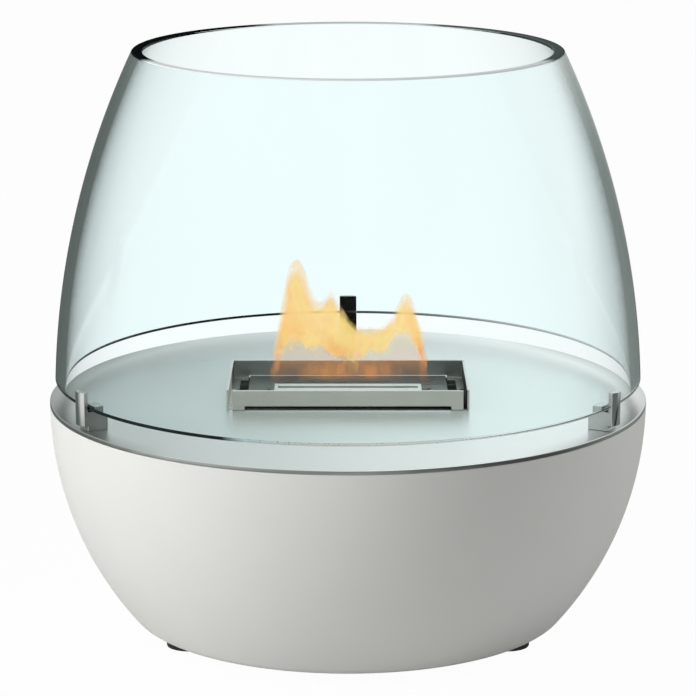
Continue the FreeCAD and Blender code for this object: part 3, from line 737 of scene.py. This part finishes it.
def flameMaterial(name, look):
    # see-through glow: pale and pink at the foot, peach and yellow above, thin at the tips
    material, tree, shader = newMaterial(name)
    uv = addNode(tree, "ShaderNodeUVMap", uv_map="flameUV")
    parts = addNode(tree, "ShaderNodeSeparateXYZ", {"Vector": uv.outputs["UV"]}).outputs
    gap = addNode(tree, "ShaderNodeAttribute", attribute_name="edgeGap").outputs["Fac"]
    height = objectAxes(tree)["Z"]
    swirls = []
    for scale in swirl["scales"]:
        place = objectPoint(tree, swirl["stretch"], (look["seed"],) * 3)
        inputs = {"Vector": place, "Scale": scale, "Detail": swirl["detail"], "Distortion": swirl["distortion"]}
        swirls.append(addNode(tree, "ShaderNodeTexNoise", inputs).outputs["Fac"])
    fine, broad = swirls
    shift = between(tree, fine, *swirl["level"])
    seen, fold = flameDensity(tree, look, fine, broad, shift, gap, height, parts["X"])
    # deep orange low down and along the edges, pale yellow in the body
    level = maths(tree, "ADD", parts["Y"], shift)
    spread = (look["warmth"] - swirl["warmSpread"], look["warmth"] + swirl["warmSpread"])
    warm = maths(tree, "MULTIPLY", level, softStep(tree, height, *flow["warmHeight"]))
    warm = maths(tree, "SUBTRACT", warm, softStep(tree, gap, *flow["coolEdge"]))
    warm = maths(tree, "ADD", warm, between(tree, broad, *spread, *swirl["warmFrom"]))
    warm = maths(tree, "ADD", warm, maths(tree, "MULTIPLY", fold, flow["warmFold"]))
    warm = maths(tree, "MAXIMUM", warm, flow["leastWarm"])
    tone = addNode(tree, "ShaderNodeValToRGB", {"Fac": warm})
    ramp = tone.color_ramp
    while len(ramp.elements) < len(flame["tones"]):
        ramp.elements.new(0.5)
    for element, (place, colour) in zip(ramp.elements, flame["tones"]):
        element.position = place
        element.color = (*colour, 1)
    setInputs(tree, shader, {
        "Base Color": (0, 0, 0, 1),
        "Emission Color": tone.outputs["Color"],
        "Emission Strength": 1.0,
        "Alpha": seen,
        "Specular IOR Level": 0.0,
        "Roughness": 1.0})
    return material


def clamped(value):
    return max(0.0, min(1.0, value))


def footShare(z):
    # the flame is narrower where it stands in the slot
    spread = clamped((z - flame["footLow"]) / (flame["footHigh"] - flame["footLow"]))
    return flame["slotShare"] + (1 - flame["slotShare"]) * spread


def makeCurtain(name, look):
    bm = bmesh.new()
    uvLayer = bm.loops.layers.uv.new("flameUV")
    gapLayer = bm.verts.layers.float.new("edgeGap")
    bodyLayer = bm.verts.layers.float.new("bodyGap")
    left, right = flame["outline"][0][0], flame["outline"][-1][0]
    shrink = 1 - look["inset"] / flame["halfWidth"]

    def topAt(x):
        return curveHeight(flame["outline"], x) * look["share"]

    rim = []
    for step in range(flame["samples"] + 1):
        x = (left + (right - left) * step / flame["samples"]) * shrink
        rim.append((x, topAt(x)))
    for side in (-1, 1):
        bmesh.ops.create_grid(bm, x_segments=flame["columns"], y_segments=flame["rows"], size=0.5)
        for vert in bm.verts:
            if vert.tag:
                continue
            vert.tag = True
            across = 0.5 - 0.5 * math.cos(math.pi * (vert.co.x + 0.5))  # closer columns at the sides
            up = vert.co.y + 0.5
            x = (left + (right - left) * across) / 1000 * shrink
            z = flame["base"] + (flame["plate"] + topAt(x * 1000) / 1000 - flame["base"]) * up
            rise = clamped((z - flame["neckTop"]) / flame["flowOut"])
            taper = [math.sin(math.pi * min(1, share * flame["sideTaper"]) / 2)
                     for share in (across, 1 - across)]
            closing = math.sqrt(max(0.0, 1 - up ** 4))
            depth = (flame["neck"] + (look["depth"] - flame["neck"]) * rise) * taper[0] * taper[1] * closing
            spot = (x * 1000, (z - flame["plate"]) * 1000)
            vert[gapLayer] = min(math.dist(spot, point) for point in rim)
            vert[bodyLayer] = spot[1] - curveHeight(flame["bodyFloor"], spot[0])
            sway = flame["sway"] * math.sin(x * flame["swayAcross"] + z * flame["swayUp"]) * rise
            vert.co = (x * footShare(z), side * depth + sway, z)
    for face in bm.faces:
        face.smooth = True
        for loop in face.loops:
            x = loop.vert.co.x / footShare(loop.vert.co.z) * 1000
            top = flame["plate"] + topAt(x) / 1000
            up = (loop.vert.co.z - flame["base"]) / (top - flame["base"])
            loop[uvLayer].uv = ((x / shrink - left) / (right - left), up)
    bmesh.ops.remove_doubles(bm, verts=bm.verts, dist=flame["merge"])
    bmesh.ops.recalc_face_normals(bm, faces=bm.faces)
    piece = linkMesh(name, bm)
    piece.data.materials.append(flameMaterial(name, look))
    piece.visible_shadow = False
    piece.visible_glossy = False
    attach(piece, "burner")
    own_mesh(piece)


for curtainName, curtainLook in curtains.items():
    makeCurtain(curtainName, curtainLook)
print("flame made")

stage = {"floorRadius": 30, "floorSegments": 64, "floorSink": 0.0003,
         "floorGrey": (0.8, 0.8, 0.8, 1), "floorRough": 0.9, "white": 0.97, "ambient": 0.29}
# the room that mirrors show: a plain grey with soft lighter and darker sides,
# as (direction, from, to, change)
room = {"grey": 0.55, "least": 0.03, "most": 1.22, "darkTint": (0.86, 1.0, 0.94), "tint": (0.972, 1.0, 0.98),
        "tintFrom": (0.2, 0.8), "deepest": 2.5,
        "sides": [((1, 0, 0), -0.1, 0.13, 0.78), ((-0.85, -0.5, 0.15), 0.7, 0.97, 0.5),
                  ((0.85, -0.5, 0.05), 0.5, 0.9, -1.15), ((-0.5, 0.6, -0.6), 0.55, 0.8, -0.38),
                  ((0.5, 0.6, -0.6), 0.6, 0.82, -1.05), ((0, 0.1, 1), 0.6, 0.95, 0.45)]}


def makeFloor():
    bm = bmesh.new()
    bmesh.ops.create_circle(bm, cap_ends=True, segments=stage["floorSegments"], radius=stage["floorRadius"],
                            matrix=Matrix.Translation((0, 0, -stage["floorSink"])))  # just under the feet
    floor = linkMesh("floor", bm)
    material, tree, shader = newMaterial("floorWhite")
    setInputs(tree, shader, {
        "Base Color": stage["floorGrey"], "Roughness": stage["floorRough"], "Specular IOR Level": 0.0})
    glow = addNode(tree, "ShaderNodeEmission", {"Color": (1, 1, 1, 1), "Strength": 1.0})
    path = addNode(tree, "ShaderNodeLightPath")
    share = maths(tree, "MULTIPLY", path.outputs["Is Camera Ray"], stage["white"])
    mix = addNode(tree, "ShaderNodeMixShader",
                  {0: share, 1: shader.outputs["BSDF"], 2: glow.outputs["Emission"]})
    tree.links.new(mix.outputs["Shader"], tree.nodes["Material Output"].inputs["Surface"])
    floor.data.materials.append(material)
    floor.visible_glossy = False
    floor.visible_transmission = False


def makeWorld():
    world = bpy.data.worlds.new("studio")
    bpy.context.scene.world = world
    world.use_nodes = True
    tree = world.node_tree
    path = addNode(tree, "ShaderNodeLightPath").outputs
    way = addNode(tree, "ShaderNodeTexCoord").outputs["Generated"]
    level = room["grey"]
    for side, low, high, change in room["sides"]:
        facing = addNode(tree, "ShaderNodeVectorMath", {0: way, 1: Vector(side).normalized()},
                         operation="DOT_PRODUCT")
        level = maths(tree, "ADD", level, softStep(tree, facing.outputs["Value"], low, high, 0, change))
    level = maths(tree, "MINIMUM", maths(tree, "MAXIMUM", level, room["least"]), room["most"])
    # straight sight, also through glass, is white; mirrored sight is the room, dark where light is
    # thrown about inside the glass; matt surfaces get the ambient level
    level = maths(tree, "MULTIPLY", level, maths(tree, "LESS_THAN", path["Glossy Depth"], room["deepest"]))
    mirrored = maths(tree, "GREATER_THAN", path["Glossy Depth"], 0.5)
    matt = maths(tree, "GREATER_THAN", path["Diffuse Depth"], 0.5)
    tint = blendColour(tree, between(tree, level, 0, 1, *room["tintFrom"]), room["darkTint"], room["tint"])
    setInputs(tree, tree.nodes["Background"], {
        "Color": blendColour(tree, mirrored, (1, 1, 1), tint),
        "Strength": mixValue(tree, matt, mixValue(tree, mirrored, 1.0, level), stage["ambient"])})


lamps = {"keyLeft": {"at": (-2.0, -1.0, 1.2), "to": (0, 0, 0.1), "size": (1.2, 1.2), "watts": 41},
         "rimRight": {"at": (1.8, 0.6, 0.6), "to": (0, 0, 0.1), "size": (0.8, 0.8), "watts": 8}}


def makeLamp(name, look):
    data = bpy.data.lights.new(name, "AREA")
    data.shape = "RECTANGLE"
    data.size, data.size_y = look["size"]
    data.energy = look["watts"]
    lamp = bpy.data.objects.new(name, data)
    bpy.context.scene.collection.objects.link(lamp)
    lamp.location = look["at"]
    aim = Vector(look["to"]) - Vector(look["at"])
    lamp.rotation_euler = aim.to_track_quat("-Z", "Y").to_euler()
    lamp.visible_glossy = False
    lamp.visible_transmission = False


view = {"at": (0, -2.15552, 0.68327), "tilt": 0.2254, "lens": 170.33, "sensor": 36}


def makeCamera():
    data = bpy.data.cameras.new("camera")
    data.lens = view["lens"]
    data.sensor_width = view["sensor"]
    camera = bpy.data.objects.new("camera", data)
    bpy.context.scene.collection.objects.link(camera)
    camera.location = view["at"]
    camera.rotation_euler = (math.pi / 2 - view["tilt"], 0, 0)
    bpy.context.scene.camera = camera


makeFloor()
makeWorld()
for lampName, lampLook in lamps.items():
    makeLamp(lampName, lampLook)
makeCamera()
bpy.context.scene.view_settings.view_transform = "Standard"
print("stage, lamps and camera set")
